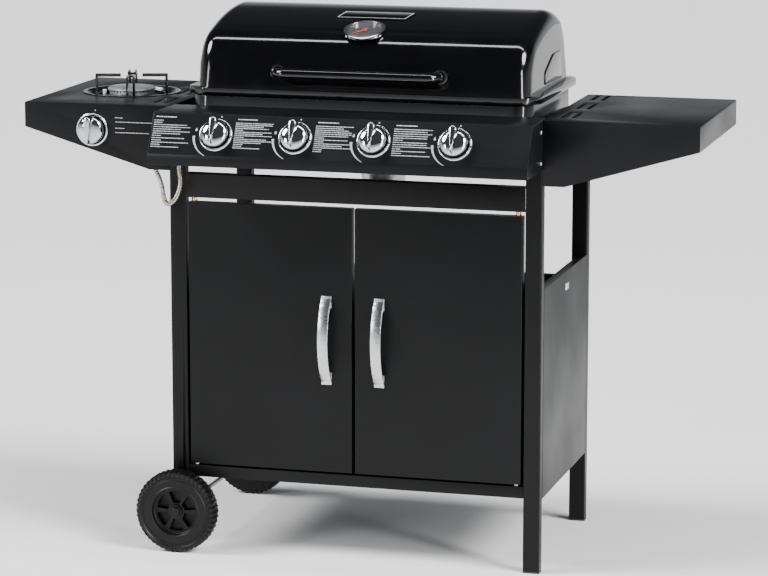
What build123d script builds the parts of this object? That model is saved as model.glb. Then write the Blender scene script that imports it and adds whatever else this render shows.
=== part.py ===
from build123d import *
import math
import os

os.makedirs("parts", exist_ok=True)

# ---- driving dimensions, in millimetres ---------------------------------------------
# X runs along the grill, Y from the front to the back, Z up from the floor.
front = -151.78         # front faces of the legs; it centres the whole footprint on Y = 0
cart_width = 680.0
cart_depth = 400.0
half_width = cart_width / 2
back = front + cart_depth

sheet = 1.5             # steel sheet
leg_wide = 30.0         # leg tube, along X
leg_deep = 22.0         # leg tube, along Y
leg_top = 780.0
leg_inner = half_width - leg_wide

wheel_radius = 75.0
wheel_width = 35.0
axle_radius = 4.0
axle_x = -325.0
running_gap = 0.05      # radial clearance of a running fit

shelf_floor = 156.0     # top of the bottom shelf
shelf_drop = 21.0       # height of its folded rail
panel_low = 131.5       # lower edge of the side and back panels
side_panel_top = 508.0
back_panel_top = 465.0
crossbar_low = 645.0
crossbar_high = 688.0

door_low = 160.0
door_top = 637.0
door_thick = 18.0
door_gap = 2.5          # half the gap between the doors
door_reveal = 4.5       # gap between a door and its leg
door_pivot_x = 296.0
door_pivot_y = front + 9.0

worktop = 807.0         # height of the control box and of the side shelves
fascia_low = 719.0
fascia_high = 738.0
fascia_y = front - 115.0
panel_top_y = front - 77.0
firebox_half = 310.0
firebox_front = front + 30.0
firebox_back = front + 370.0
firebox_rim = 824.0
firebox_fold = 735.0
firebox_floor = 690.0

shelf_length = 273.0
shelf_depth = 369.0
apron_inner = 692.0     # lower edge of the apron beside the cart
apron_outer = 761.0     # lower edge of the apron at the free end
apron_flat = 38.0

lid_half = 304.0
lid_rim_half = 322.0
lid_low = 838.0         # where the dome leaves its rim
rim_low = 826.0
rim_front = front + 31.0
rim_back = front + 384.0
hinge_y = front + 393.0
hinge_z = 832.0

knob_places = (-219.5, -75.5, 65.0, 209.0)
side_knob_x = -484.0
side_knob_z = 760.0
burner_z = 748.0
side_burner_x = -478.0
bowl_bore = 24.0        # hole in the bowl for the burner's throat
side_burner_y = front + 190.0

# ---- planes --------------------------------------------------------------------------
panel_rise = worktop - fascia_high
panel_run = panel_top_y - fascia_y
panel_slope = math.hypot(panel_rise, panel_run)
panel_plane = Plane(
    origin=(0, (fascia_y + panel_top_y) / 2, (fascia_high + worktop) / 2),
    x_dir=(1, 0, 0),
    z_dir=(0, -panel_rise / panel_slope, panel_run / panel_slope),
)
side_panel_plane = Plane(origin=(side_knob_x, front, side_knob_z), x_dir=(1, 0, 0), z_dir=(0, -1, 0))
knob_planes = [
    Plane(
        origin=panel_plane.from_local_coords(Vector(x, 0, 0)),
        x_dir=panel_plane.x_dir,
        z_dir=panel_plane.z_dir,
    )
    for x in knob_places
] + [side_panel_plane]


def folded(points, thickness=sheet):
    """Outline of a sheet folded along points; the thickness lies to the right of the path."""
    inner = []
    for i, (a, b) in enumerate(points):
        before = points[max(i - 1, 0)]
        after = points[min(i + 1, len(points) - 1)]
        normals = []
        for p, q in ((before, (a, b)), ((a, b), after)):
            run = math.hypot(q[0] - p[0], q[1] - p[1])
            if run > 0:
                normals.append(((q[1] - p[1]) / run, -(q[0] - p[0]) / run))
        nx = sum(n[0] for n in normals) / len(normals)
        ny = sum(n[1] for n in normals) / len(normals)
        square = nx * nx + ny * ny
        inner.append((a + thickness * nx / square, b + thickness * ny / square))
    return list(points) + inner[::-1]


def save(name, part):
    part.label = name
    export_step(part, f"parts/{name}.step")


# ---- cart frame ----------------------------------------------------------------------
leg_left_low = 58.0     # the left legs end just below the axle
leg_right_low = 3.0     # the right legs stand in plastic feet
leg_places = {
    "leg_front_left": (-1, front + leg_deep / 2, leg_left_low),
    "leg_rear_left": (-1, back - leg_deep / 2, leg_left_low),
    "leg_front_right": (1, front + leg_deep / 2, leg_right_low),
    "leg_rear_right": (1, back - leg_deep / 2, leg_right_low),
}
leg_x = half_width - leg_wide / 2
wheel_centre = wheel_radius
for leg_name, (side, leg_y, leg_low) in leg_places.items():
    with BuildPart() as leg:
        with BuildSketch(Plane.XY.offset(leg_low)):
            with Locations((side * leg_x, leg_y)):
                RectangleRounded(leg_wide, leg_deep, 3)
                RectangleRounded(leg_wide - 2 * sheet, leg_deep - 2 * sheet, 1.5, mode=Mode.SUBTRACT)
        extrude(amount=leg_top - leg_low)
        if side < 0:
            with BuildSketch(Plane.XZ.offset(-leg_y - leg_deep)):
                with Locations((axle_x, wheel_centre)):
                    Circle(axle_radius)
            extrude(amount=2 * leg_deep, mode=Mode.SUBTRACT)
    save(leg_name, leg.part)

with BuildPart() as leg_feet:
    with BuildSketch(Plane.XY):
        with Locations((leg_x, front + leg_deep / 2), (leg_x, back - leg_deep / 2)):
            RectangleRounded(leg_wide, leg_deep, 3)
    extrude(amount=leg_right_low)
    with BuildSketch(Plane.XY.offset(leg_right_low)):
        with Locations((leg_x, front + leg_deep / 2), (leg_x, back - leg_deep / 2)):
            RectangleRounded(leg_wide - 2 * sheet, leg_deep - 2 * sheet, 1.5)
    extrude(amount=12)
save("leg_feet", leg_feet.part)

with BuildPart() as side_rails:
    for side in (-1, 1):
        with BuildSketch(Plane.XZ.offset(-front - leg_deep)):
            with Locations((side * leg_x, leg_top - 12.5)):
                RectangleRounded(leg_wide, 25, 3)
                RectangleRounded(leg_wide - 2 * sheet, 25 - 2 * sheet, 1.5, mode=Mode.SUBTRACT)
        extrude(amount=-(cart_depth - 2 * leg_deep))
save("side_rails", side_rails.part)

with BuildPart() as bottom_shelf:
    with BuildSketch(Plane.XY.offset(shelf_floor)) as shelf_outline:
        with Locations((0, front + cart_depth / 2)):
            Rectangle(2 * leg_inner, cart_depth - 3)
            Rectangle(cart_width - 2 * sheet, cart_depth - 2 * leg_deep)
    extrude(amount=-shelf_drop)
    with BuildSketch(Plane.XY.offset(shelf_floor - sheet)):
        add(offset(shelf_outline.sketch, amount=-sheet, kind=Kind.INTERSECTION, mode=Mode.PRIVATE))
    extrude(amount=-shelf_drop, mode=Mode.SUBTRACT)
save("bottom_shelf", bottom_shelf.part)

crossbar_flange = 25.0
with BuildPart() as front_crossbar:
    with BuildSketch(Plane.YZ):
        with BuildLine():
            Polyline(
                *folded([
                    (front + crossbar_flange, crossbar_low),
                    (front + 1, crossbar_low),
                    (front + 1, crossbar_high),
                    (front + crossbar_flange, crossbar_high),
                ]),
                close=True,
            )
        make_face()
    extrude(amount=leg_inner, both=True)
save("front_crossbar", front_crossbar.part)

panel_flange = 15.0
for side, panel_name in ((-1, "side_panel_left"), (1, "side_panel_right")):
    path = [
        (half_width - panel_flange, panel_low),
        (half_width, panel_low),
        (half_width, side_panel_top),
        (half_width - panel_flange, side_panel_top),
    ]
    with BuildPart() as side_panel:
        with BuildSketch(Plane.XZ.offset(-front - leg_deep)):
            with BuildLine():
                Polyline(*[(side * x, z) for x, z in folded(path, -sheet)], close=True)
            make_face()
        extrude(amount=-(cart_depth - 2 * leg_deep))
    save(panel_name, side_panel.part)

with BuildPart() as back_panel:
    with BuildSketch(Plane.YZ):
        with BuildLine():
            Polyline(
                *folded([
                    (back - panel_flange, panel_low),
                    (back, panel_low),
                    (back, back_panel_top),
                    (back - panel_flange, back_panel_top),
                ], -sheet),
                close=True,
            )
        make_face()
    extrude(amount=leg_inner, both=True)
save("back_panel", back_panel.part)

# ---- axle and wheels -----------------------------------------------------------------
wheel_gap = 4.0         # between a wheel and its leg
hub_inset = 6.0         # the axle's end cap sits inside the hub
axle_end = wheel_width + wheel_gap - hub_inset + 0.4
cap_thick = 5.0
with BuildPart() as axle:
    with BuildSketch(Plane.XZ.offset(-front + axle_end)):
        with Locations((axle_x, wheel_centre)):
            Circle(axle_radius)
    extrude(amount=-(cart_depth + 2 * axle_end))
save("axle", axle.part)

with BuildPart() as axle_caps:
    with BuildSketch(Plane.XZ.offset(-front + axle_end)):
        with Locations((axle_x, wheel_centre)):
            Circle(9)
    extrude(amount=cap_thick)
    with BuildSketch(Plane.XZ.offset(-back - axle_end)):
        with Locations((axle_x, wheel_centre)):
            Circle(9)
    extrude(amount=-cap_thick)
    fillet(axle_caps.edges().filter_by(GeomType.CIRCLE), radius=1.5)
save("axle_caps", axle_caps.part)

hub_ring = 43.0         # radius where the hub meets the tyre wall
hub_boss = 12.0
lug_count = 40
for wheel_name, inner_y, outward in (
    ("wheel_front", front - wheel_gap, 1),
    ("wheel_rear", back + wheel_gap, -1),
):
    with BuildPart() as wheel:
        with BuildSketch(Plane.XZ.offset(-inner_y)):
            with Locations((axle_x, wheel_centre)):
                Circle(wheel_radius)
        extrude(amount=outward * wheel_width)
        fillet(wheel.edges().filter_by(GeomType.CIRCLE), radius=5)
        for recess_y, depth in ((wheel_width, 12.0), (0.0, 14.0)):
            toward = -1 if recess_y > 0 else 1
            with BuildSketch(Plane.XZ.offset(-inner_y + outward * recess_y)):
                with Locations((axle_x, wheel_centre)):
                    Circle(hub_ring)
                    Circle(hub_boss, mode=Mode.SUBTRACT)
            extrude(amount=toward * outward * depth, mode=Mode.SUBTRACT)
        with BuildSketch(Plane.XZ.offset(-inner_y + outward * wheel_width)):
            with Locations((axle_x, wheel_centre)):
                Circle(hub_boss)
        extrude(amount=-outward * hub_inset, mode=Mode.SUBTRACT)
        with BuildSketch(Plane.XZ.offset(-inner_y)):
            with Locations((axle_x, wheel_centre)):
                Circle(axle_radius + running_gap)
                with PolarLocations(28, 6, start_angle=30):
                    SlotOverall(20, 9)
        extrude(amount=outward * wheel_width, mode=Mode.SUBTRACT)
        with BuildSketch(Plane.XZ.offset(-inner_y)):
            with Locations((axle_x, wheel_centre)):
                with PolarLocations(wheel_radius + 0.4, lug_count):
                    Rectangle(4.8, 4.2)
        extrude(amount=outward * wheel_width, mode=Mode.SUBTRACT)
    save(wheel_name, wheel.part)

# ---- doors ---------------------------------------------------------------------------
pin_radius = 3.0
pin_depth = 6.0
door_wide = leg_inner - door_reveal - door_gap
door_y = front + door_thick / 2
for side, door_name in ((-1, "door_left"), (1, "door_right")):
    door_x = side * (door_gap + door_wide / 2)
    with BuildPart() as door:
        with BuildSketch(Plane.XY.offset(door_low)):
            with Locations((door_x, door_y)):
                Rectangle(door_wide, door_thick)
        extrude(amount=door_top - door_low)
        fillet(door.edges().filter_by(Axis.Z).group_by(Axis.Y)[0], radius=2)
        with BuildSketch(Plane.XY.offset(door_low + sheet)):
            with Locations((door_x, door_y + sheet / 2)):
                Rectangle(door_wide - 2 * sheet, door_thick - sheet)
        extrude(amount=door_top - door_low - 2 * sheet, mode=Mode.SUBTRACT)
        with BuildSketch(Plane.XY.offset(door_low)):
            with Locations((side * door_pivot_x, door_pivot_y)):
                Circle(pin_radius + running_gap)
        extrude(amount=door_top - door_low, mode=Mode.SUBTRACT)
    save(door_name, door.part)

with BuildPart() as door_pins:
    for plane_z, up, shoulder in ((shelf_floor, 1, door_low), (crossbar_low, -1, door_top)):
        with BuildSketch(Plane.XY.offset(plane_z)):
            with Locations((-door_pivot_x, door_pivot_y), (door_pivot_x, door_pivot_y)):
                Circle(5)
        extrude(amount=up * (abs(shoulder - plane_z) - 0.4))
        with BuildSketch(Plane.XY.offset(plane_z)):
            with Locations((-door_pivot_x, door_pivot_y), (door_pivot_x, door_pivot_y)):
                Circle(pin_radius)
        extrude(amount=up * (abs(shoulder - plane_z) + pin_depth))
save("door_pins", door_pins.part)

handle_x = 48.5
handle_low = 320.0
handle_high = 480.0
handle_bow = 30.0
handle_wide = 18.5
handle_foot = 22.0
handle_thick = 3.0
for side, handle_name in ((-1, "door_handle_left"), (1, "door_handle_right")):
    mid = (handle_low + handle_high) / 2
    with BuildPart() as handle:
        with BuildSketch(Plane.YZ.offset(side * handle_x)):
            with BuildLine():
                outer = ThreePointArc(
                    (front, handle_low), (front - handle_bow, mid), (front, handle_high)
                )
                Line((front, handle_high), (front, handle_high - 5))
                ThreePointArc(
                    (front, handle_high - 5), (front - handle_bow + handle_thick, mid), (front, handle_low + 5)
                )
                Line((front, handle_low + 5), (front, handle_low))
            make_face()
            with Locations((front - 2, handle_low + handle_foot / 2), (front - 2, handle_high - handle_foot / 2)):
                Rectangle(4, handle_foot)
        extrude(amount=handle_wide / 2, both=True)
    save(handle_name, handle.part)

# ---- firebox, burners and what lies in it ----------------------------------------------
firebox_mid = (firebox_front + firebox_back) / 2
firebox_deep = firebox_back - firebox_front
corner = 34.0
floor_half = 240.0
floor_deep = 240.0
drain_radius = 18.0
ledge_top = 808.0
ledge_wide = 12.0
venturi_radius = 13.0
with BuildPart() as firebox:
    with BuildSketch(Plane.XY.offset(firebox_fold)):
        with Locations((0, firebox_mid)):
            RectangleRounded(2 * firebox_half, firebox_deep, corner)
    extrude(amount=firebox_rim - firebox_fold)
    with BuildSketch(Plane.XY.offset(firebox_fold)):
        with Locations((0, firebox_mid)):
            RectangleRounded(2 * firebox_half, firebox_deep, corner)
    with BuildSketch(Plane.XY.offset(firebox_floor)):
        with Locations((0, firebox_mid)):
            RectangleRounded(2 * floor_half, floor_deep, corner)
    loft()
    with BuildSketch(Plane.XY.offset(firebox_fold)):
        with Locations((0, firebox_mid)):
            RectangleRounded(2 * (firebox_half - sheet), firebox_deep - 2 * sheet, corner - sheet)
    extrude(amount=firebox_rim - firebox_fold, mode=Mode.SUBTRACT)
    with BuildSketch(Plane.XY.offset(firebox_fold)):
        with Locations((0, firebox_mid)):
            RectangleRounded(2 * (firebox_half - sheet), firebox_deep - 2 * sheet, corner - sheet)
    with BuildSketch(Plane.XY.offset(firebox_floor + sheet)):
        with Locations((0, firebox_mid)):
            RectangleRounded(2 * (floor_half - sheet), floor_deep - 2 * sheet, corner - sheet)
    loft(mode=Mode.SUBTRACT)
    with BuildSketch(Plane.XY.offset(firebox_floor)):
        with Locations((0, firebox_mid)):
            Circle(drain_radius)
    extrude(amount=2 * sheet, mode=Mode.SUBTRACT)
    with BuildSketch(Plane.XZ.offset(-firebox_front)):
        with Locations(*[(x, burner_z) for x in knob_places]):
            Circle(venturi_radius + 1)
    extrude(amount=-2 * sheet, mode=Mode.SUBTRACT)
    with BuildSketch(Plane.XY.offset(ledge_top)):
        for ledge_y in (firebox_front + ledge_wide / 2 + 1, firebox_back - ledge_wide / 2 - 1):
            with Locations((0, ledge_y)):
                Rectangle(2 * (firebox_half - corner), ledge_wide)
    extrude(amount=-2)
save("firebox", firebox.part)

burner_front = front + 12.0
burner_back = firebox_back - 16
with BuildPart() as burners:
    with BuildSketch(Plane.XZ.offset(-burner_front)):
        with Locations(*[(x, burner_z) for x in knob_places]):
            Circle(venturi_radius)
            Circle(venturi_radius - 1.5, mode=Mode.SUBTRACT)
    extrude(amount=burner_front - burner_back)
    with BuildSketch(Plane.XZ.offset(-burner_back)):
        with Locations(*[(x, burner_z) for x in knob_places]):
            Circle(venturi_radius)
            with Locations((0, -venturi_radius)):
                Rectangle(10, 5, align=(Align.CENTER, Align.MIN))
    extrude(amount=-14.5)
save("burners", burners.part)

plate_low = 772.0
plate_half = 58.0
plate_rise = 26.0
fit_gap = 0.02
with BuildPart() as heat_plates:
    for x in knob_places:
        with BuildSketch(Plane.XZ.offset(-firebox_front - sheet - fit_gap)):
            with BuildLine():
                Polyline(
                    *folded([
                        (x - plate_half, plate_low),
                        (x - 12, plate_low + plate_rise),
                        (x + 12, plate_low + plate_rise),
                        (x + plate_half, plate_low),
                    ]),
                    close=True,
                )
            make_face()
        extrude(amount=-(firebox_deep - 2 * sheet - 2 * fit_gap))
save("heat_plates", heat_plates.part)

grate_thick = 8.0
grate_gap = 2.0
grate_half = (2 * firebox_half - 2 * sheet - 3 * grate_gap) / 2
grate_deep = firebox_deep - 2 * sheet - 4
slot_count = 17
slot_pitch = 17.0
for side, grate_name in ((-1, "cooking_grate_left"), (1, "cooking_grate_right")):
    grate_x = side * (grate_gap + grate_half) / 2
    with BuildPart() as grate:
        with BuildSketch(Plane.XY.offset(ledge_top)):
            with Locations((grate_x, firebox_mid)):
                RectangleRounded(grate_half, grate_deep, corner - 4)
                with GridLocations(slot_pitch, grate_deep / 2 - 8, slot_count, 2):
                    SlotOverall(grate_deep / 2 - 24, slot_pitch - 6, rotation=90, mode=Mode.SUBTRACT)
        extrude(amount=grate_thick)
    save(grate_name, grate.part)

cup_radius = 38.0
cup_low = 652.0
cup_high = 676.0
cup_y = firebox_mid
bail_x = 14.0           # two wires from the cup hook over the edge of the drain
wire = 3.0
with BuildPart() as grease_cup:
    with BuildSketch(Plane.XY.offset(cup_low)):
        with Locations((0, cup_y)):
            Circle(cup_radius)
    extrude(amount=cup_high - cup_low, taper=-8)
    with BuildSketch(Plane.XY.offset(cup_low + sheet)):
        with Locations((0, cup_y)):
            Circle(cup_radius - sheet)
    extrude(amount=cup_high - cup_low, taper=-8, mode=Mode.SUBTRACT)
    for side in (-1, 1):
        with BuildSketch(Plane.XZ.offset(-cup_y - wire / 2)):
            with BuildLine():
                Polyline(
                    (side * bail_x, cup_low + 1),
                    (side * bail_x, firebox_floor + 5),
                    (side * (bail_x + 10), firebox_floor + 5),
                    (side * (bail_x + 10), firebox_floor + 2),
                    (side * (bail_x + wire), firebox_floor + 2),
                    (side * (bail_x + wire), cup_low + 1),
                    close=True,
                )
            make_face()
        extrude(amount=wire)
save("grease_cup", grease_cup.part)

# ---- control box, gas train and knobs --------------------------------------------------
box_half = half_width - sheet
knob_hole = 6.0
with BuildPart() as control_box:
    with BuildSketch(Plane.YZ):
        with BuildLine():
            Polyline(
                *folded([
                    (firebox_front - 2, worktop),
                    (panel_top_y, worktop),
                    (fascia_y, fascia_high),
                    (fascia_y, fascia_low),
                    (fascia_y + panel_flange, fascia_low),
                ], -sheet),
                close=True,
            )
        make_face()
    extrude(amount=box_half, both=True)
    for side in (-1, 1):
        with BuildSketch(Plane.YZ.offset(side * box_half)):
            with BuildLine():
                Polyline(
                    (front, worktop),
                    (panel_top_y, worktop),
                    (fascia_y, fascia_high),
                    (fascia_y, fascia_low),
                    (front, fascia_low),
                    close=True,
                )
            make_face()
        extrude(amount=side * sheet)
    with BuildSketch(panel_plane.offset(-4)):
        with Locations(*[(x, 0) for x in knob_places]):
            Circle(knob_hole)
    extrude(amount=8, mode=Mode.SUBTRACT)
save("control_box", control_box.part)

valve_high = 14.0       # depth of a valve's face behind the panel
valve_low = 38.0
stem_radius = 4.0
manifold_y = front - 54.8
manifold_z = 749.8
elbow_x = -312.0
elbow_y = front - 22.0
with BuildPart() as gas_manifold:
    with BuildSketch(Plane.YZ.offset(elbow_x)):
        with Locations((manifold_y, manifold_z)):
            Circle(9.5)
    extrude(amount=knob_places[-1] + 24 - elbow_x)
    for plane in knob_planes[:-1]:
        with BuildSketch(plane.offset(-valve_low)):
            RectangleRounded(24, 28, 3)
        extrude(amount=valve_low - valve_high)
    with BuildSketch(Plane.XZ.offset(-manifold_y + 4)):
        with Locations(*[(x, burner_z) for x in knob_places]):
            Circle(4)
    extrude(amount=manifold_y - burner_front - 10)
    with BuildSketch(Plane.XZ.offset(-manifold_y)):
        with Locations((elbow_x, manifold_z)):
            Circle(6)
    extrude(amount=manifold_y - elbow_y)
    with BuildSketch(Plane.XY.offset(manifold_z - 8)):
        with Locations((elbow_x, elbow_y)):
            RectangleRounded(16, 16, 2)
    extrude(amount=16)
    for plane in knob_planes[:-1]:
        with BuildSketch(plane.offset(-valve_high)):
            Circle(stem_radius + running_gap)
        extrude(amount=-18, mode=Mode.SUBTRACT)
save("gas_manifold", gas_manifold.part)

with BuildPart() as side_valve:
    with BuildSketch(side_panel_plane.offset(-valve_low)):
        RectangleRounded(24, 28, 3)
    extrude(amount=valve_low - valve_high)
    with BuildSketch(side_panel_plane.offset(-valve_high)):
        Circle(stem_radius + running_gap)
    extrude(amount=-18, mode=Mode.SUBTRACT)
    with BuildSketch(Plane.XZ.offset(-front - valve_low)):
        with Locations((side_knob_x, side_knob_z)):
            Circle(5)
    extrude(amount=-(side_burner_y - front - valve_low - bowl_bore))
save("side_valve", side_valve.part)

bezel_radius = 31.0
bezel_inner = 26.5
bezel_high = 4.0
with BuildPart() as knob_bezels:
    for plane in knob_planes:
        with BuildSketch(plane):
            Circle(bezel_radius)
        extrude(amount=bezel_high, taper=25)
        with BuildSketch(plane):
            Circle(bezel_inner)
        extrude(amount=bezel_high, mode=Mode.SUBTRACT)
save("knob_bezels", knob_bezels.part)

knob_push = 4.0
knob_clear = 5.0        # gap between the knob's skirt and the panel at rest
knob_radius = 24.5
skirt_high = 10.0
grip_wide = 15.0
grip_long = 54.0
grip_high = 31.0
stem_out = 22.0
flat_cut = 2.6          # distance of the stem's flat from its axis
flat_start = knob_clear - knob_push - 0.4
for number, plane in enumerate(knob_planes, start=1):
    with BuildPart() as stem:
        with BuildSketch(plane.offset(-valve_high - 17)):
            Circle(stem_radius)
        extrude(amount=valve_high + 17 + flat_start)
        with BuildSketch(plane.offset(flat_start)):
            Circle(stem_radius)
            with Locations((0, -stem_radius - flat_cut)):
                Rectangle(4 * stem_radius, 2 * stem_radius, mode=Mode.SUBTRACT)
        extrude(amount=stem_out - flat_start)
    save(f"valve_stem_{number}", stem.part)
    with BuildPart() as knob:
        with BuildSketch(plane.offset(knob_clear)):
            Circle(knob_radius)
        extrude(amount=skirt_high)
        with BuildSketch(plane.offset(knob_clear + skirt_high)):
            Circle(knob_radius)
        extrude(amount=8, taper=38)
        with BuildSketch(plane.offset(knob_clear + 4)):
            SlotOverall(grip_long, grip_wide, rotation=90)
        extrude(amount=grip_high - knob_clear - 4, taper=4)
        with BuildSketch(plane.offset(knob_clear)):
            Circle(stem_radius + running_gap)
            with Locations((0, -stem_radius - flat_cut - running_gap)):
                Rectangle(4 * stem_radius, 2 * stem_radius, mode=Mode.SUBTRACT)
        extrude(amount=stem_out - knob_clear + knob_push + 0.4, mode=Mode.SUBTRACT)
    save(f"knob_{number}", knob.part)

# ---- side shelves and side burner ------------------------------------------------------
shelf_end = half_width + shelf_length
slot_x = (363.0, 382.0)
slot_y = (78.0, 202.0, 322.0)
bowl_hole = 84.0
for side, shelf_name in ((-1, "side_shelf_left"), (1, "side_shelf_right")):
    with BuildPart() as shelf:
        with BuildSketch(Plane.XZ.offset(-front)):
            with BuildLine():
                Polyline(
                    (side * half_width, worktop - 1),
                    (side * shelf_end, worktop - 1),
                    (side * shelf_end, apron_outer),
                    (side * (half_width + apron_flat), apron_inner),
                    (side * half_width, apron_inner),
                    close=True,
                )
            make_face()
        extrude(amount=-shelf_depth)
        top_edges = shelf.edges().filter_by(Axis.Y).sort_by(Axis.Z)[-2:]
        fillet(top_edges.sort_by(Axis.X)[-1 if side > 0 else 0], radius=3)
        with BuildSketch(Plane.XY.offset(worktop - 1 - sheet)):
            with Locations((side * (half_width + shelf_length / 2), front + shelf_depth / 2)):
                Rectangle(shelf_length - 2 * sheet, shelf_depth - 2 * sheet)
        extrude(amount=-(worktop - apron_inner), mode=Mode.SUBTRACT)
        with BuildSketch(Plane.XY.offset(worktop - 1)):
            with Locations(*[(side * x, front + y) for x in slot_x for y in slot_y]):
                SlotOverall(70, 8, rotation=90)
            if side < 0:
                with Locations((side_burner_x, side_burner_y)):
                    Circle(bowl_hole)
        extrude(amount=-2 * sheet, mode=Mode.SUBTRACT)
        if side < 0:
            with BuildSketch(side_panel_plane.offset(-4)):
                Circle(knob_hole)
            extrude(amount=8, mode=Mode.SUBTRACT)
    save(shelf_name, shelf.part)

bowl_floor = 796.0
burner_plane = Plane(origin=(side_burner_x, side_burner_y, 0), x_dir=(1, 0, 0), z_dir=(0, -1, 0))
with BuildPart() as side_burner_bowl:
    with BuildSketch(burner_plane):
        with BuildLine():
            Polyline(
                (90, worktop - 1),
                (90, worktop),
                (83, worktop),
                (76, bowl_floor + 1),
                (bowl_bore, bowl_floor + 1),
                (bowl_bore, bowl_floor),
                (77, bowl_floor),
                (83, worktop - 1),
                close=True,
            )
        make_face()
    revolve(axis=Axis((side_burner_x, side_burner_y, 0), (0, 0, 1)))
save("side_burner_bowl", side_burner_bowl.part)

flame_ports = 36
with BuildPart() as side_burner_head:
    with BuildSketch(Plane.XY.offset(side_knob_z - 8)):
        with Locations((side_burner_x, side_burner_y)):
            Circle(bowl_bore)
    extrude(amount=bowl_floor + 4 - side_knob_z + 8)
    with BuildSketch(Plane.XY.offset(bowl_floor + 3)):
        with Locations((side_burner_x, side_burner_y)):
            Circle(30)
    extrude(amount=3)
    with BuildSketch(Plane.XY.offset(bowl_floor + 6)):
        with Locations((side_burner_x, side_burner_y)):
            Circle(41)
    extrude(amount=8)
    with BuildSketch(Plane.XY.offset(bowl_floor + 10)):
        with Locations((side_burner_x, side_burner_y)):
            with PolarLocations(40, flame_ports):
                Rectangle(8, 3)
    extrude(amount=4, mode=Mode.SUBTRACT)
save("side_burner_head", side_burner_head.part)

with BuildPart() as side_burner_cap:
    with BuildSketch(Plane.XY.offset(bowl_floor + 14)):
        with Locations((side_burner_x, side_burner_y)):
            Circle(44)
    extrude(amount=3)
    with BuildSketch(Plane.XY.offset(bowl_floor + 17)):
        with Locations((side_burner_x, side_burner_y)):
            Circle(43)
    extrude(amount=2, taper=60)
save("side_burner_cap", side_burner_cap.part)

support_top = 838.0
support_wire = 4.5
support_post = 64.0
support_tip = 22.0
with BuildPart() as pot_support:
    with BuildSketch(Plane.XY.offset(bowl_floor + 1)):
        with Locations((side_burner_x, side_burner_y)):
            Circle(support_post + support_wire / 2)
            Circle(support_post - support_wire / 2, mode=Mode.SUBTRACT)
    extrude(amount=support_wire)
    with BuildSketch(Plane.XY.offset(bowl_floor + 1)):
        with Locations((side_burner_x, side_burner_y)):
            with PolarLocations(support_post, 4, start_angle=18):
                with Locations((0, 6), (0, -6)):
                    Rectangle(support_wire, support_wire)
    extrude(amount=support_top - bowl_floor - 1)
    with BuildSketch(Plane.XY.offset(support_top)):
        with Locations((side_burner_x, side_burner_y)):
            with PolarLocations((support_post + support_tip) / 2, 4, start_angle=18):
                with Locations((0, 6), (0, -6)):
                    Rectangle(support_post - support_tip + support_wire, support_wire)
            with PolarLocations(support_tip, 4, start_angle=18):
                Rectangle(support_wire, 12)
    extrude(amount=-support_wire)
save("pot_support", pot_support.part)

igniter_angle = math.radians(205)
with BuildPart() as side_igniter:
    with BuildSketch(Plane.XY.offset(bowl_floor + 1)):
        with Locations((
            side_burner_x + 50 * math.cos(igniter_angle),
            side_burner_y + 50 * math.sin(igniter_angle),
        )):
            Circle(3.5)
    extrude(amount=13)
save("side_igniter", side_igniter.part)

# ---- lid -------------------------------------------------------------------------------
end_radius = 30.0       # rounding of the lid's end faces


def lid_solid(inset):
    """Solid inside the lid's outline moved inwards by inset."""
    with BuildPart() as solid:
        with BuildSketch(Plane.YZ):
            with BuildLine():
                Polyline((front + 376, lid_low), (front + 40, lid_low), (front + 46, lid_low + 46))
                Line((front + 46, lid_low + 46), (front + 60, 908))
                ThreePointArc((front + 60, 908), (front + 76, 927), (front + 97, 939))
                ThreePointArc((front + 97, 939), (front + 167.3, 959.8), (front + 240, 970))
                ThreePointArc((front + 240, 970), (front + 279.9, 967.6), (front + 318, 956))
                Polyline((front + 318, 956), (front + 344, 927), (front + 376, lid_low))
            make_face()
            if inset:
                offset(amount=-inset, kind=Kind.INTERSECTION)
        extrude(amount=lid_half - inset, both=True)
        ends = solid.faces().filter_by(Axis.X).edges()
        fillet([e for e in ends if e.center().Z > lid_low + inset + 1], radius=end_radius - inset)
    return solid.part


lid_outer = lid_solid(0)
rim_mid = (rim_front + rim_back) / 2
dial_x = -5.0
dial_plane = Plane(
    origin=(dial_x, front + 93, 944.5),
    x_dir=(1, 0, 0),
    z_dir=(0, -math.sin(math.radians(18)), math.cos(math.radians(18))),
)
probe_radius = 3.4
lip = 4.0               # the rim's sheet reaches a little inside the dome
mouth_deep = 326.0
with BuildPart() as lid_shell:
    add(lid_outer)
    with BuildSketch(Plane.XY.offset(rim_low)):
        with Locations((0, rim_mid)):
            RectangleRounded(2 * lid_rim_half, rim_back - rim_front, 42)
    extrude(amount=lid_low - rim_low)
    add(lid_solid(sheet), mode=Mode.SUBTRACT)
    with BuildSketch(Plane.XY.offset(rim_low)):
        with Locations((0, rim_mid)):
            RectangleRounded(2 * (lid_rim_half - sheet), rim_back - rim_front - 2 * sheet, 42 - sheet)
    extrude(amount=lid_low - rim_low - sheet, mode=Mode.SUBTRACT)
    with BuildSketch(Plane.XY.offset(rim_low)):
        with Locations((0, front + 208)):
            RectangleRounded(2 * (lid_half - lip), mouth_deep, end_radius - lip)
    extrude(amount=lid_low - rim_low + sheet + 0.2, mode=Mode.SUBTRACT)
    with BuildSketch(dial_plane):
        Circle(probe_radius + 0.1)
    extrude(amount=-40, mode=Mode.SUBTRACT)
save("lid_shell", lid_shell.part)

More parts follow.
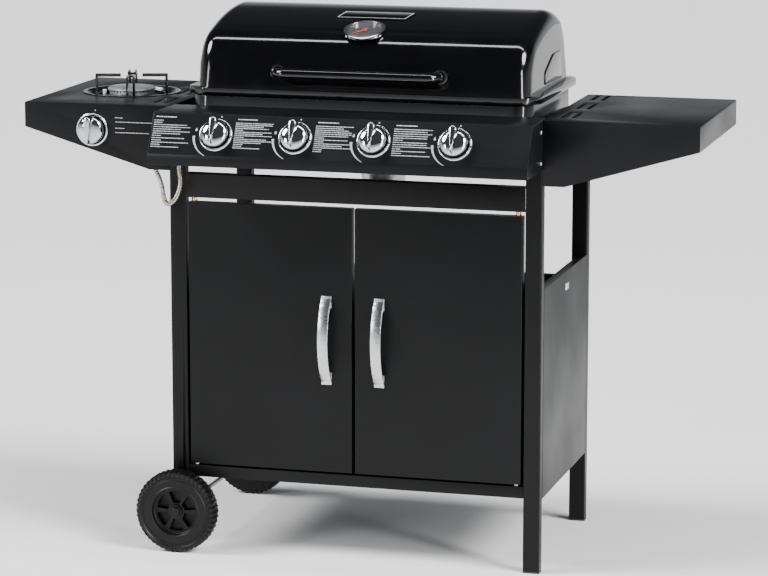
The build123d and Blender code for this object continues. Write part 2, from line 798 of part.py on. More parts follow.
rack_z = 876.0
rack_half = 272.0
rack_front = front + 248.0
rack_back = front + 354.0
rod = 4.0
rack_hanger_x = 200.0
with BuildPart() as warming_rack:
    with BuildSketch(Plane.XY.offset(rack_z)):
        with Locations((0, (rack_front + rack_back) / 2)):
            Rectangle(2 * rack_half, rack_back - rack_front)
            with GridLocations(17, 0, 31, 1):
                Rectangle(13, rack_back - rack_front - 2 * rod, mode=Mode.SUBTRACT)
        with Locations((-rack_hanger_x, rack_back), (rack_hanger_x, rack_back)):
            Rectangle(24, 24)
    extrude(amount=rod)
    add(lid_solid(sheet), mode=Mode.INTERSECT)
save("warming_rack", warming_rack.part)

lid_handle_half = 148.0
lid_handle_z = 870.0
lid_handle_y = front + 6.0
lid_handle_end = front + 36.0
lid_handle_radius = 10.0
with BuildPart() as lid_handle:
    with BuildLine() as handle_line:
        FilletPolyline(
            (-lid_handle_half, lid_handle_end, lid_handle_z),
            (-lid_handle_half, lid_handle_y, lid_handle_z),
            (lid_handle_half, lid_handle_y, lid_handle_z),
            (lid_handle_half, lid_handle_end, lid_handle_z),
            radius=24,
        )
    with BuildSketch(Plane(origin=handle_line.line @ 0, z_dir=handle_line.line % 0)):
        Circle(lid_handle_radius)
        Circle(lid_handle_radius - sheet, mode=Mode.SUBTRACT)
    sweep()
save("lid_handle", lid_handle.part)

with BuildPart() as lid_handle_ferrules:
    with BuildSketch(Plane.XZ.offset(-lid_handle_end)):
        with Locations((-lid_handle_half, lid_handle_z), (lid_handle_half, lid_handle_z)):
            Circle(13)
    extrude(amount=-14)
    add(lid_outer, mode=Mode.SUBTRACT)
save("lid_handle_ferrules", lid_handle_ferrules.part)

hinge_x = 190.0
knuckle_half = 8.0
knuckle_radius = 6.0
knuckle_gap = 0.5
lid_knuckle = 11.5
hinge_pin_radius = 3.0
with BuildPart() as hinge_brackets:
    for side in (-1, 1):
        with BuildSketch(Plane.YZ.offset(side * hinge_x)):
            with BuildLine():
                Polyline(
                    (front + 370, 782),
                    (front + 373, 782),
                    (front + 373, 800),
                    (hinge_y + 5, hinge_z - 4),
                    (hinge_y, hinge_z),
                    (hinge_y - 4, hinge_z - 3),
                    (front + 370, 806),
                    close=True,
                )
            make_face()
            with Locations((hinge_y, hinge_z)):
                Circle(knuckle_radius)
                Circle(hinge_pin_radius, mode=Mode.SUBTRACT)
        extrude(amount=knuckle_half, both=True)
save("hinge_brackets", hinge_brackets.part)

with BuildPart() as lid_hinge_brackets:
    for side in (-1, 1):
        for start in (-knuckle_half - knuckle_gap - lid_knuckle, knuckle_half + knuckle_gap):
            with BuildSketch(Plane.YZ.offset(side * hinge_x + start)):
                with BuildLine():
                    Polyline(
                        (front + 362, lid_low + 2),
                        (front + 362, lid_low + 30),
                        (front + 378, lid_low + 28),
                        (hinge_y + 5, hinge_z + 4),
                        (hinge_y, hinge_z),
                        (hinge_y - 6, lid_low + 2),
                        close=True,
                    )
                make_face()
                with Locations((hinge_y, hinge_z)):
                    Circle(knuckle_radius)
                    Circle(hinge_pin_radius + running_gap, mode=Mode.SUBTRACT)
            extrude(amount=lid_knuckle)
    add(lid_outer, mode=Mode.SUBTRACT)
save("lid_hinge_brackets", lid_hinge_brackets.part)

pin_half = knuckle_half + knuckle_gap + lid_knuckle + 2
with BuildPart() as hinge_pins:
    for side in (-1, 1):
        with BuildSketch(Plane.YZ.offset(side * hinge_x)):
            with Locations((hinge_y, hinge_z)):
                Circle(hinge_pin_radius)
        extrude(amount=pin_half, both=True)
        with BuildSketch(Plane.YZ.offset(side * (hinge_x + pin_half))):
            with Locations((hinge_y, hinge_z)):
                Circle(5)
        extrude(amount=side * 2)
save("hinge_pins", hinge_pins.part)

dial_radius = 37.0
dial_thick = 6.0
dial_wall = 3.0
pointer_pin = 1.5
with BuildPart() as thermometer_case:
    with BuildSketch(dial_plane):
        Circle(dial_radius)
    extrude(amount=-dial_thick)
    with BuildSketch(dial_plane):
        Circle(dial_radius - dial_wall)
    extrude(amount=-dial_thick + 2, mode=Mode.SUBTRACT)
    with BuildSketch(dial_plane.offset(-dial_thick)):
        Circle(9)
    extrude(amount=-16)
    add(lid_outer, mode=Mode.SUBTRACT)
    with BuildSketch(dial_plane.offset(-dial_thick)):
        Circle(probe_radius)
    extrude(amount=-58)
    with BuildSketch(dial_plane):
        Circle(pointer_pin)
    extrude(amount=-dial_thick)
save("thermometer_case", thermometer_case.part)

with BuildPart() as thermometer_dial:
    with BuildSketch(dial_plane.offset(-dial_thick + 2)):
        Circle(dial_radius - dial_wall)
        Circle(pointer_pin, mode=Mode.SUBTRACT)
    extrude(amount=0.8)
save("thermometer_dial", thermometer_dial.part)

pointer_long = 25.0
pointer_rest = math.radians(135)    # the cold end of the scale, at the lower left
pointer_plane = Plane(
    origin=dial_plane.from_local_coords(Vector(0, 0, -2.4)),
    x_dir=dial_plane.x_dir * math.cos(pointer_rest) + dial_plane.y_dir * math.sin(pointer_rest),
    z_dir=dial_plane.z_dir,
)
with BuildPart() as thermometer_pointer:
    with BuildSketch(pointer_plane):
        with BuildLine():
            Polyline((-2, -7), (2, -7), (0.7, pointer_long), (-0.7, pointer_long), close=True)
        make_face()
        Circle(4)
        Circle(pointer_pin + running_gap, mode=Mode.SUBTRACT)
    extrude(amount=0.9)
save("thermometer_pointer", thermometer_pointer.part)

badge_wide = 130.0
badge_high = 36.0
badge_slant = 9.0
badge_plane = Plane(
    origin=(dial_x, front + 166, 959.6),
    x_dir=(1, 0, 0),
    z_dir=(0, -math.sin(math.radians(13)), math.cos(math.radians(13))),
)
with BuildPart() as badge_plate:
    with BuildSketch(badge_plane.offset(-1)):
        with BuildLine():
            Polyline(
                (-badge_wide / 2 - badge_slant / 2, -badge_high / 2),
                (badge_wide / 2 - badge_slant / 2, -badge_high / 2),
                (badge_wide / 2 + badge_slant / 2, badge_high / 2),
                (-badge_wide / 2 + badge_slant / 2, badge_high / 2),
                close=True,
            )
        make_face()
    extrude(amount=2.8)
    add(lid_outer, mode=Mode.SUBTRACT)
save("badge_plate", badge_plate.part)

# ---- gas hose --------------------------------------------------------------------------
hose_radius = 4.5
hose_points = [
    (-456, 26, 760),
    (-434, 26, 757),
    (-411, 24, 741),
    (-389, 20, 717),
    (-370, 14, 690),
    (-356, 7, 664),
    (-351, -3, 645),
    (-342, -12, 632),
    (-328, -14, 637),
    (-317, -15, 655),
    (-312, -16, 677),
    (-315, -20, 697),
    (-312, -22, 714),
    (-312, -22, 730),
]
hose_route = [Vector(x, front + y, z) for x, y, z in hose_points]
hose_radii = []
for before, corner_point, after in zip(hose_route, hose_route[1:], hose_route[2:]):
    turn = (corner_point - before).get_angle(after - corner_point)
    shorter = min((corner_point - before).length, (after - corner_point).length)
    hose_radii.append(0.45 * shorter / math.tan(math.radians(turn / 2)))
with BuildPart() as gas_hose:
    with BuildLine() as hose_line:
        FilletPolyline(*hose_route, radius=hose_radii)
    with BuildSketch(Plane(origin=hose_line.line @ 0, z_dir=hose_line.line % 0)):
        Circle(hose_radius)
    sweep()
save("gas_hose", gas_hose.part)
print("hose radii", [round(r, 1) for r in hose_radii])
print("hose length", round(hose_line.wire().length, 1))
print("hose volume over section times length",
      round(gas_hose.part.volume / (math.pi * hose_radius ** 2 * hose_line.wire().length), 4))

with BuildPart() as hose_fittings:
    with BuildSketch(Plane.XY.offset(hose_route[-1].Z)):
        with Locations((elbow_x, elbow_y)):
            RegularPolygon(radius=8, side_count=6)
    extrude(amount=manifold_z - 8 - hose_route[-1].Z)
    with BuildSketch(Plane.YZ.offset(side_knob_x + 12)):
        with Locations((front + 26, side_knob_z)):
            RegularPolygon(radius=8, side_count=6)
    extrude(amount=hose_route[0].X - side_knob_x - 12)
    add(gas_hose.part, mode=Mode.SUBTRACT)
save("hose_fittings", hose_fittings.part)
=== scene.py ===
import math
import random

import bmesh
import bpy
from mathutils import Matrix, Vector


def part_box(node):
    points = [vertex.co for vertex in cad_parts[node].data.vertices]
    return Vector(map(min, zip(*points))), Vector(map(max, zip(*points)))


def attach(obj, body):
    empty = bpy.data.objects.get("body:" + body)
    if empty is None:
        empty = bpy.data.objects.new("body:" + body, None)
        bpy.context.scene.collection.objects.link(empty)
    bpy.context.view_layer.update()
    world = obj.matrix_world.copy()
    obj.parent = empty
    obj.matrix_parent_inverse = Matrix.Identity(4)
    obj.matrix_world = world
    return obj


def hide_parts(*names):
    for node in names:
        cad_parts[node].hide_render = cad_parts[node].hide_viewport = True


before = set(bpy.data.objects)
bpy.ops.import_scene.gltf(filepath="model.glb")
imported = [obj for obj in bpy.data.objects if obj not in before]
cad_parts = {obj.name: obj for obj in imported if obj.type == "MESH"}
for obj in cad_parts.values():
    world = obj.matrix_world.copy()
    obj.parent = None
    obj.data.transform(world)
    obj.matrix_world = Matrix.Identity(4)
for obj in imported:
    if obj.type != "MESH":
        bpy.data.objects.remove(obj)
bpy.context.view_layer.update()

# Camera: a long lens on a tripod, a little above the lid and to the right of the grill's
# middle, so that the front, the right end and the tops of the shelves all show.
lens = bpy.data.cameras.new("camera")
lens.sensor_width = 36.0
lens.lens = 150.9
camera = bpy.data.objects.new("camera", lens)
camera.location = (1.5565, -5.5020, 1.5532)
camera.rotation_euler = (math.radians(79.26), 0.0, math.radians(15.66))
bpy.context.collection.objects.link(camera)
bpy.context.scene.camera = camera

# Gas hose: a corrugated stainless tube from the manifold's elbow, out under the control box
# in a tight loop and back up to the side burner's valve. It is crimped into brass nuts.


class Wire:
    """A shader socket that takes part in sums."""

    def __init__(self, nodes, socket):
        self.nodes = nodes
        self.socket = socket

    def __add__(self, other):
        return self.nodes.add("Math", {"operation": "ADD"}, {0: self, 1: other})

    def __radd__(self, other):
        return self.nodes.add("Math", {"operation": "ADD"}, {0: other, 1: self})


class Nodes:
    """The nodes of one material, or of the studio's walls."""

    def __init__(self, tree):
        self.tree = tree

    def add(self, kind, settings, inputs, output=0):
        node = self.tree.nodes.new("ShaderNode" + kind)
        for key, value in settings.items():
            if key == "stops":
                for stop, (position, colour) in zip(node.color_ramp.elements, value):
                    stop.position = position
                    stop.color = (*colour, 1.0)
            else:
                setattr(node, key, value)
        for key, value in inputs.items():
            self.feed(node.inputs[key], value)
        return Wire(self, node.outputs[output])

    def feed(self, socket, value):
        if isinstance(value, Wire):
            self.tree.links.new(value.socket, socket)
        else:
            socket.default_value = value


class Finish(Nodes):
    """The paint, plating or plastic that a piece is shown in."""

    def __init__(self, name, roughness, metallic=0.0):
        self.material = bpy.data.materials.new(name)
        self.material.use_nodes = True
        super().__init__(self.material.node_tree)
        self.shader = self.tree.nodes["Principled BSDF"]
        self.shader.inputs["Roughness"].default_value = roughness
        self.shader.inputs["Metallic"].default_value = metallic
        self.place = self.add("TexCoord", {}, {}, "Object")

    def noise(self, scale, detail=4.0, stretch=(1.0, 1.0, 1.0)):
        spread = self.add("Mapping", {}, {"Vector": self.place, "Scale": stretch})
        return self.add("TexNoise", {}, {"Vector": spread, "Scale": scale, "Detail": detail}, "Fac")

    def between(self, mask, low, high):
        """The middle of a noise, spread over the range from low to high."""
        spread = {"From Min": 0.35, "From Max": 0.65, "To Min": low, "To Max": high}
        return self.add("MapRange", {}, {"Value": mask, **spread})

    def blend(self, mask, first, second):
        colours = {6: (*first, 1.0), 7: (*second, 1.0)}
        return self.add("Mix", {"data_type": "RGBA"}, {"Factor": mask, **colours}, 2)

    def colour(self, value):
        flat = not isinstance(value, Wire)
        self.feed(self.shader.inputs["Base Color"], (*value, 1.0) if flat else value)

    def rough(self, value):
        self.feed(self.shader.inputs["Roughness"], value)

    def relief(self, height, strength, distance):
        sizes = {"Strength": strength, "Distance": distance}
        normal = self.add("Bump", {}, {"Height": height, **sizes}, "Normal")
        self.feed(self.shader.inputs["Normal"], normal)


def bright_metal(name, colour, worn, roughness, grain=(1.0, 1.0, 1.0), scale=40.0):
    """Bare metal with a faint grain and handling marks."""
    finish = Finish(name, roughness, metallic=1.0)
    marks = finish.noise(scale=9.0)
    lines = finish.noise(scale, detail=6.0, stretch=grain)
    finish.colour(finish.blend(finish.between(marks, 0.0, 1.0), colour, worn))
    grain_rough = finish.between(lines, roughness * 0.8, roughness * 1.35)
    finish.rough(grain_rough + finish.between(marks, 0.0, 0.05))
    finish.relief(lines, strength=0.02, distance=0.0004)
    return finish


def link(name, mesh, finish, body):
    """A new piece of this mesh, in this finish, that moves with this body."""
    piece = bpy.data.objects.new(name, mesh)
    bpy.context.collection.objects.link(piece)
    mesh.materials.append(finish.material)
    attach(piece, body)
    return piece


def skin(name, points, faces, smooth=True):
    mesh = bpy.data.meshes.new(name)
    mesh.from_pydata([tuple(point) for point in points], [], faces)
    mesh.validate()
    mesh.polygons.foreach_set("use_smooth", [smooth] * len(mesh.polygons))
    return mesh


def cross_sections(rings, closed_ends=True):
    """Faces that join rings of equal count, with a cap on each end."""
    count = len(rings[0])
    last = (len(rings) - 1) * count
    points = [point for ring in rings for point in ring]
    faces = []
    for start in range(0, last, count):
        for i in range(count):
            j = (i + 1) % count
            faces.append((start + i, start + j, start + count + j, start + count + i))
    if closed_ends:
        faces.append(tuple(range(count))[::-1])
        faces.append(tuple(last + i for i in range(count)))
    return points, faces


cart_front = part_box("leg_front_left")[0][1]
# across, behind the front of the cart, above the floor
hose_route = (
    (-0.456, 0.026, 0.760), (-0.434, 0.026, 0.757), (-0.411, 0.024, 0.741),
    (-0.389, 0.020, 0.717), (-0.370, 0.014, 0.690), (-0.356, 0.007, 0.664),
    (-0.351, -0.003, 0.645), (-0.342, -0.012, 0.632), (-0.328, -0.014, 0.637),
    (-0.317, -0.015, 0.655), (-0.312, -0.016, 0.677), (-0.315, -0.020, 0.697),
    (-0.312, -0.022, 0.714), (-0.312, -0.022, 0.730),
)
hose_radius = 0.0045
groove_deep = 0.0012
steps_per_rib = 4
groove_steps = (1, 2)
steps_per_bend = 28
hose_sides = 14
hose_corners = [Vector((x, cart_front + y, z)) for x, y, z in hose_route]
hose_middles = [(a + b) / 2 for a, b in zip(hose_corners[1:-2], hose_corners[2:-1])]
hose_middles = [hose_corners[0], *hose_middles, hose_corners[-1]]
hose_line = []
for a, b, c in zip(hose_middles, hose_corners[1:-1], hose_middles[1:]):
    for step in range(steps_per_bend):
        t = step / steps_per_bend
        hose_line.append(a * (1 - t) ** 2 + b * 2 * t * (1 - t) + c * t ** 2)
hose_line.append(hose_corners[-1])
hose_length = sum((b - a).length for a, b in zip(hose_line, hose_line[1:]))
side = Vector((0, 1, 0))
hose_rings = []
for i, point in enumerate(hose_line):
    along = (hose_line[min(i + 1, len(hose_line) - 1)] - hose_line[max(i - 1, 0)]).normalized()
    side = (side - along * side.dot(along)).normalized()
    over = along.cross(side)
    radius = hose_radius - (groove_deep if i % steps_per_rib in groove_steps else 0.0)
    hose_rings.append([
        point + (side * math.cos(turn) + over * math.sin(turn)) * radius
        for turn in (2 * math.pi * k / hose_sides for k in range(hose_sides))
    ])
hose_steel = bright_metal(
    "stainless hose", colour=(0.42, 0.39, 0.33), worn=(0.32, 0.29, 0.24), roughness=0.24,
    scale=160.0,
)
hose = link("hose", skin("hose", *cross_sections(hose_rings)), hose_steel, "cart")
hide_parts("gas_hose")

# Studio: a pale floor, a narrow strip lamp overhead, a tall soft box at each side and two
# wide skylights. The walls are bright low down and fade to dark above.
studio_floor = Finish("studio floor", 0.7)
studio_floor.colour((0.95, 0.95, 0.955))
floor_half = 30.0
floor_corners = [
    (x * floor_half, y * floor_half, 0) for x, y in ((-1, -1), (1, -1), (1, 1), (-1, 1))
]
floor_mesh = skin("floor", floor_corners, [(0, 1, 2, 3)])
floor_mesh.materials.append(studio_floor.material)
floor = bpy.data.objects.new("floor", floor_mesh)
bpy.context.collection.objects.link(floor)

world = bpy.data.worlds.new("studio")
world.use_nodes = True
bpy.context.scene.world = world
walls = Nodes(world.node_tree)
wall_low = (0.95, 0.97, 1.0)
wall_high = (0.075, 0.080, 0.090)
heading = walls.add("TexCoord", {}, {}, "Generated")
rise = walls.add("SeparateXYZ", {}, {"Vector": heading}, "Z")
fade = walls.add("ValToRGB", {"stops": ((0.10, wall_low), (0.34, wall_high))}, {"Fac": rise})
walls.feed(walls.tree.nodes["Background"].inputs["Color"], fade)
for name, place, turn, wide, high, power in (
    ("overhead strip", (0.0, -0.3, 3.2), (0, 0, 0), 3.4, 0.22, 45.0),
    ("right box", (3.0, -1.9, 1.2), (85, 0, 58), 0.40, 2.2, 90.0),
    ("left box", (-3.2, -3.4, 2.0), (68, 0, -43), 0.7, 1.6, 60.0),
):
    lamp = bpy.data.lights.new(name, "AREA")
    lamp.shape = "RECTANGLE"
    lamp.size = wide
    lamp.size_y = high
    lamp.energy = power
    light = bpy.data.objects.new(name, lamp)
    light.location = place
    light.rotation_euler = [math.radians(angle) for angle in turn]
    bpy.context.collection.objects.link(light)
for name, lean in (("left skylight", -48), ("right skylight", 48)):
    skylight = bpy.data.lights.new(name, "SUN")
    skylight.energy = 4.0
    skylight.angle = math.radians(22)
    light = bpy.data.objects.new(name, skylight)
    light.rotation_euler = (math.radians(14), math.radians(lean), 0)
    bpy.context.collection.objects.link(light)

# Cart frame: rectangular steel tube legs and rails with folded sheet panels between them.
# They are bolted together, and powder coated black with a fine texture.


def powder_coat(name, colour, chalk, roughness=0.42):
    """Baked powder paint: a fine grit, with a cloudy bloom over it."""
    finish = Finish(name, roughness)
    finish.shader.inputs["Specular IOR Level"].default_value = 0.15
    cloud = finish.noise(scale=6.0)
    grit = finish.noise(scale=1400.0, detail=2.0)
    finish.colour(finish.blend(finish.between(cloud, 0.0, 1.0), colour, chalk))
    cloud_rough = finish.between(cloud, roughness - 0.04, roughness + 0.05)
    finish.rough(cloud_rough + finish.between(grit, -0.04, 0.04))
    finish.relief(grit, strength=0.25, distance=0.00025)
    return finish


def keep(node, finish, edge, segments=2):
    """A CAD piece in its real finish, with its edges eased by a small radius."""
    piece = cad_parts[node]
    piece.data.materials.clear()
    piece.data.materials.append(finish.material)
    weld = piece.modifiers.new("weld", "WELD")
    weld.merge_threshold = 0.00001
    if edge:
        easing = piece.modifiers.new("edges", "BEVEL")
        easing.width = edge
        easing.segments = segments
        easing.limit_method = "ANGLE"
        easing.angle_limit = math.radians(32.0)
        easing.harden_normals = True
    piece.data.polygons.foreach_set("use_smooth", [True] * len(piece.data.polygons))


cart_coat = powder_coat(
    "cart powder coat", colour=(0.0027, 0.0028, 0.0031), chalk=(0.0040, 0.0041, 0.0045)
)
for node in ("leg_front_left", "leg_rear_left", "leg_front_right", "leg_rear_right"):
    keep(node, cart_coat, edge=0.0010)
for node in (
    "side_rails", "bottom_shelf", "front_crossbar", "side_panel_left", "side_panel_right",
    "back_panel",
):
    keep(node, cart_coat, edge=0.0007)

# Feet: two moulded plastic caps, pushed up into the open ends of the right legs.
foot_plastic = Finish("foot plastic", 0.55)
foot_plastic.colour((0.02, 0.02, 0.021))
foot_plastic.relief(foot_plastic.noise(scale=500.0), strength=0.1, distance=0.0002)
keep("leg_feet", foot_plastic, edge=0.0008)

# Doors: two shallow pans pressed from steel sheet and powder coated. Each turns on two
# pins, one in the bottom shelf and one in the crossbar.
door_coat = powder_coat(
    "door powder coat", colour=(0.0023, 0.0025, 0.0028), chalk=(0.0034, 0.0036, 0.0040),
    roughness=0.40,
)
for node in ("door_left", "door_right"):
    keep(node, door_coat, edge=0.0012, segments=3)

# Door handles: bowed straps of brushed steel, bent flat at both ends. Each is screwed to
# its door through the flat ends.
strap_steel = bright_metal(
    "door strap", colour=(0.60, 0.60, 0.61), worn=(0.50, 0.50, 0.52), roughness=0.24,
    grain=(1.0, 1.0, 0.02), scale=900.0,
)
for node in ("door_handle_left", "door_handle_right"):
    keep(node, strap_steel, edge=0.0006)

# Door pins and gas fittings: turned brass. The pins have a shoulder that the door rides on;
# the manifold, the side burner's valve and the hose's two nuts are screwed together.
brass = bright_metal(
    "pin brass", colour=(0.72, 0.50, 0.20), worn=(0.58, 0.40, 0.17), roughness=0.28
)
for node in ("door_pins", "gas_manifold", "side_valve", "hose_fittings"):
    keep(node, brass, edge=0.0004)

# Axle, the lid's hinges and the grease cup: steel rod and bent or pressed steel sheet, all
# zinc plated. The hinges turn on plain pins; the cup hangs under the firebox.
zinc = bright_metal(
    "zinc plate", colour=(0.46, 0.47, 0.49), worn=(0.38, 0.38, 0.40), roughness=0.38
)
for node in ("axle", "hinge_brackets", "lid_hinge_brackets", "hinge_pins", "grease_cup"):
    keep(node, zinc, edge=0.0004)

# Wheels: moulded black plastic, with lugs on the tread, six pockets in the face and a
# recessed hub. They turn on the axle, and a cap of the same plastic holds each of them.
wheel_plastic = Finish("wheel plastic", 0.42)
wheel_plastic.shader.inputs["Specular IOR Level"].default_value = 0.20
cloud = wheel_plastic.noise(scale=30.0)
wheel_plastic.colour(wheel_plastic.blend(cloud, (0.0018, 0.0018, 0.0020), (0.0040, 0.0040, 0.0043)))
wheel_plastic.rough(wheel_plastic.between(cloud, 0.36, 0.50))
wheel_plastic.relief(wheel_plastic.noise(scale=600.0), strength=0.12, distance=0.0003)
wheel_middle = Vector((-0.325, 0.0, 0.075))
wheel_half_wide = 0.0175
lugs = 48
steps_per_lug = 4
gap_steps = (2, 3)
wheel_steps = lugs * steps_per_lug
steps_per_pocket = wheel_steps // 6
pocket_steps = range(5, 28)
pocket_deep = 0.0100
lug_deep = 0.0034
nick_deep = 0.0016
# radius, depth below the outer face, and what the ring is cut by
wheel_outside = (
    (0.0045, 0.0065, ""), (0.0105, 0.0060, ""), (0.0120, 0.0066, ""), (0.0126, 0.0112, ""),
    (0.0155, 0.0118, ""), (0.0165, 0.0118, "pocket"), (0.0360, 0.0118, "pocket"),
    (0.0370, 0.0118, ""), (0.0410, 0.0116, ""), (0.0424, 0.0105, ""), (0.0430, 0.0012, ""),
    (0.0440, 0.0004, ""), (0.0460, 0.0004, ""), (0.0470, 0.0012, ""), (0.0585, 0.0016, ""),
    (0.0595, 0.0026, ""), (0.0640, 0.0026, ""), (0.0655, 0.0008, ""), (0.0664, 0.0006, "nick"),
    (0.0722, 0.0012, "nick"), (0.0734, 0.0034, "lug"), (0.0748, 0.0058, "lug"),
    (0.0748, 0.0292, "lug"), (0.0734, 0.0316, "lug"), (0.0722, 0.0338, "nick"),
    (0.0664, 0.0344, "nick"), (0.0650, 0.0346, ""), (0.0440, 0.0348, ""), (0.0430, 0.0340, ""),
    (0.0420, 0.0240, ""), (0.0130, 0.0240, ""), (0.0120, 0.0346, ""), (0.0045, 0.0346, ""),
)


def wheel_mesh(name, outer_face, inward):
    """Rings about the axle; a ring sinks in the face's pockets and between the lugs."""
    rings = []
    for radius, depth, cut in wheel_outside:
        ring = []
        for k in range(wheel_steps):
            r = radius
            y = depth
            if cut == "pocket" and k % steps_per_pocket in pocket_steps:
                y += pocket_deep
            if cut == "lug" and k % steps_per_lug in gap_steps:
                r -= lug_deep
            if cut == "nick" and k % steps_per_lug in gap_steps:
                y += math.copysign(nick_deep, wheel_half_wide - depth)
            turn = 2 * math.pi * k / wheel_steps
            ring.append((
                wheel_middle.x + r * math.cos(turn),
                outer_face + inward * y,
                wheel_middle.z + r * math.sin(turn),
            ))
        rings.append(ring)
    points, faces = cross_sections(rings, closed_ends=False)
    last = (len(rings) - 1) * wheel_steps
    for k in range(wheel_steps):
        j = (k + 1) % wheel_steps
        faces.append((last + k, last + j, j, k))
    mesh = skin(name, points, faces)
    body = bmesh.new()
    body.from_mesh(mesh)
    bmesh.ops.recalc_face_normals(body, faces=body.faces)
    body.to_mesh(mesh)
    body.free()
    mesh.set_sharp_from_angle(angle=math.radians(35))
    return mesh


for node, face, inward in (("wheel_front", 0, 1), ("wheel_rear", 1, -1)):
    mesh = wheel_mesh(node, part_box(node)[face][1], inward)
    wheel = link(node + "_moulding", mesh, wheel_plastic, node)
    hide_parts(node)
keep("axle_caps", wheel_plastic, edge=0.0006)

# Lid: deep-drawn steel sheet with a flanged rim, in gloss black enamel. Its handle is a
# bent tube, held at each end by a ferrule that is screwed on through the sheet.


def gloss_enamel(name, colour, roughness=0.07):
    """Fired enamel: a faint orange peel, with a little dust on it."""
    finish = Finish(name, roughness)
    dust = finish.noise(scale=16.0, detail=6.0)
    peel = finish.noise(scale=120.0, detail=2.0)
    dusty = tuple(channel * 1.5 for channel in colour)
    finish.colour(finish.blend(finish.between(dust, 0.0, 1.0), colour, dusty))
    finish.rough(finish.between(dust, roughness, roughness + 0.05))
    finish.relief(peel, strength=0.03, distance=0.0006)
    return finish


lid_enamel = gloss_enamel("lid enamel", (0.0010, 0.0010, 0.0012))
keep("lid_shell", lid_enamel, edge=0.0010, segments=3)
keep("lid_handle", lid_enamel, edge=0.0)
keep("lid_handle_ferrules", lid_enamel, edge=0.0008, segments=3)

# Bright parts: the rings behind the knobs and the thermometer's case are pressed steel, and
# the warming rack inside the lid is welded wire. All are chrome plated.
chrome = bright_metal(
    "chrome", colour=(0.80, 0.81, 0.83), worn=(0.74, 0.75, 0.77), roughness=0.06
)
for node in ("knob_bezels", "thermometer_case", "warming_rack"):
    keep(node, chrome, edge=0.0008, segments=3)

# Thermometer: a printed dial plate under the chrome rim, with a red painted pointer that is
# pressed on the end of the probe's spindle.
dial_print = Finish("dial print", 0.4)
dial_print.colour(dial_print.blend(
    dial_print.noise(scale=200.0), (0.03, 0.03, 0.034), (0.045, 0.045, 0.05)
))
keep("thermometer_dial", dial_print, edge=0.0)
pointer_paint = Finish("pointer paint", 0.3)
pointer_paint.colour(pointer_paint.blend(
    pointer_paint.noise(scale=300.0), (0.55, 0.03, 0.02), (0.48, 0.025, 0.018)
))
keep("thermometer_pointer", pointer_paint, edge=0.0)

# Badge: a plain slanted steel plate in the lid's enamel, riveted to the lid. A thin light
# border is painted round its edge.
keep("badge_plate", lid_enamel, edge=0.0006)


def flat_sheet(name, outlines, origin, up, out, lift):
    """Flat shapes, each a list of (across, up) points, lying on one face."""
    points = []
    faces = []
    for outline in outlines:
        faces.append(tuple(range(len(points), len(points) + len(outline))))
        points += [origin + Vector((u, 0, 0)) + up * v + out * lift for u, v in outline]
    return skin(name, points, faces, smooth=False)


badge_tilt = math.radians(13)
badge_up = Vector((0, math.cos(badge_tilt), math.sin(badge_tilt)))
badge_out = Vector((0, -math.sin(badge_tilt), math.cos(badge_tilt)))
badge_middle = Vector((-0.005, cart_front + 0.166, 0.9596))
badge_face = 0.0019
badge_half_wide = 0.065
badge_half_high = 0.018
badge_lean = 0.0045
border_inset = 0.0022
border_wide = 0.0010
border_edges = []
for inset in (border_inset, border_inset + border_wide):
    half_wide = badge_half_wide - inset
    half_high = badge_half_high - inset
    lean = badge_lean * half_high / badge_half_high
    border_edges.append([
        (-half_wide - lean, -half_high), (half_wide - lean, -half_high),
        (half_wide + lean, half_high), (-half_wide + lean, half_high),
    ])
outer, inner = border_edges
border = [[outer[k], outer[(k + 1) % 4], inner[(k + 1) % 4], inner[k]] for k in range(4)]
border_paint = Finish("badge border paint", 0.4)
border_paint.colour(border_paint.blend(
    border_paint.noise(scale=300.0), (0.52, 0.53, 0.54), (0.66, 0.67, 0.68)
))
link(
    "badge_border",
    flat_sheet("badge_border", border, badge_middle, badge_up, badge_out, badge_face),
    border_paint, "lid",
)

# Lid ends: a slanted panel is pressed outwards in the sheet of each end of the lid, to
# stiffen it. It is in the same gloss enamel.


def rounded(corners, radius, steps=6):
    """Outline of a polygon with each corner rounded off."""
    outline = []
    befores = corners[-1:] + corners[:-1]
    afters = corners[1:] + corners[:1]
    for before, corner, after in zip(befores, corners, afters):
        here = Vector(corner)
        start = here + (Vector(before) - here).normalized() * radius
        stop = here + (Vector(after) - here).normalized() * radius
        for step in range(steps + 1):
            t = step / steps
            outline.append(start * (1 - t) ** 2 + here * 2 * t * (1 - t) + stop * t ** 2)
    return outline


# size of the outline and share of the rise, from the foot of the sloping edge to its top
plate_edge = ((1.0, 0.0), (0.985, 0.35), (0.95, 0.85), (0.92, 1.0))


def raised_plate(name, corners, radius, face, out, rise):
    """A plate on an end face; each (depth, height) corner is rounded, and the edge slopes."""
    outline = rounded(corners, radius)
    middle = sum(outline, Vector((0, 0))) / len(outline)
    rings = [
        [(face + out * rise * lift, *(middle + (point - middle) * size)) for point in outline]
        for size, lift in plate_edge
    ]
    mesh = skin(name, *cross_sections(rings))
    mesh.set_sharp_from_angle(angle=math.radians(60))
    return mesh


lid_end = 0.304
emboss_sunk = 0.0002
emboss_rise = 0.0022
emboss_corner = 0.007
emboss = [(cart_front + depth, height) for depth, height in (
    (0.165, 0.8455), (0.307, 0.8435), (0.293, 0.896), (0.230, 0.8955), (0.164, 0.868),
)]
for side_name, out in (("left", -1), ("right", 1)):
    face = out * (lid_end - emboss_sunk)
    mesh = raised_plate("lid_emboss", emboss, emboss_corner, face, out, emboss_rise)
    link("lid_emboss_" + side_name, mesh, lid_enamel, "lid")

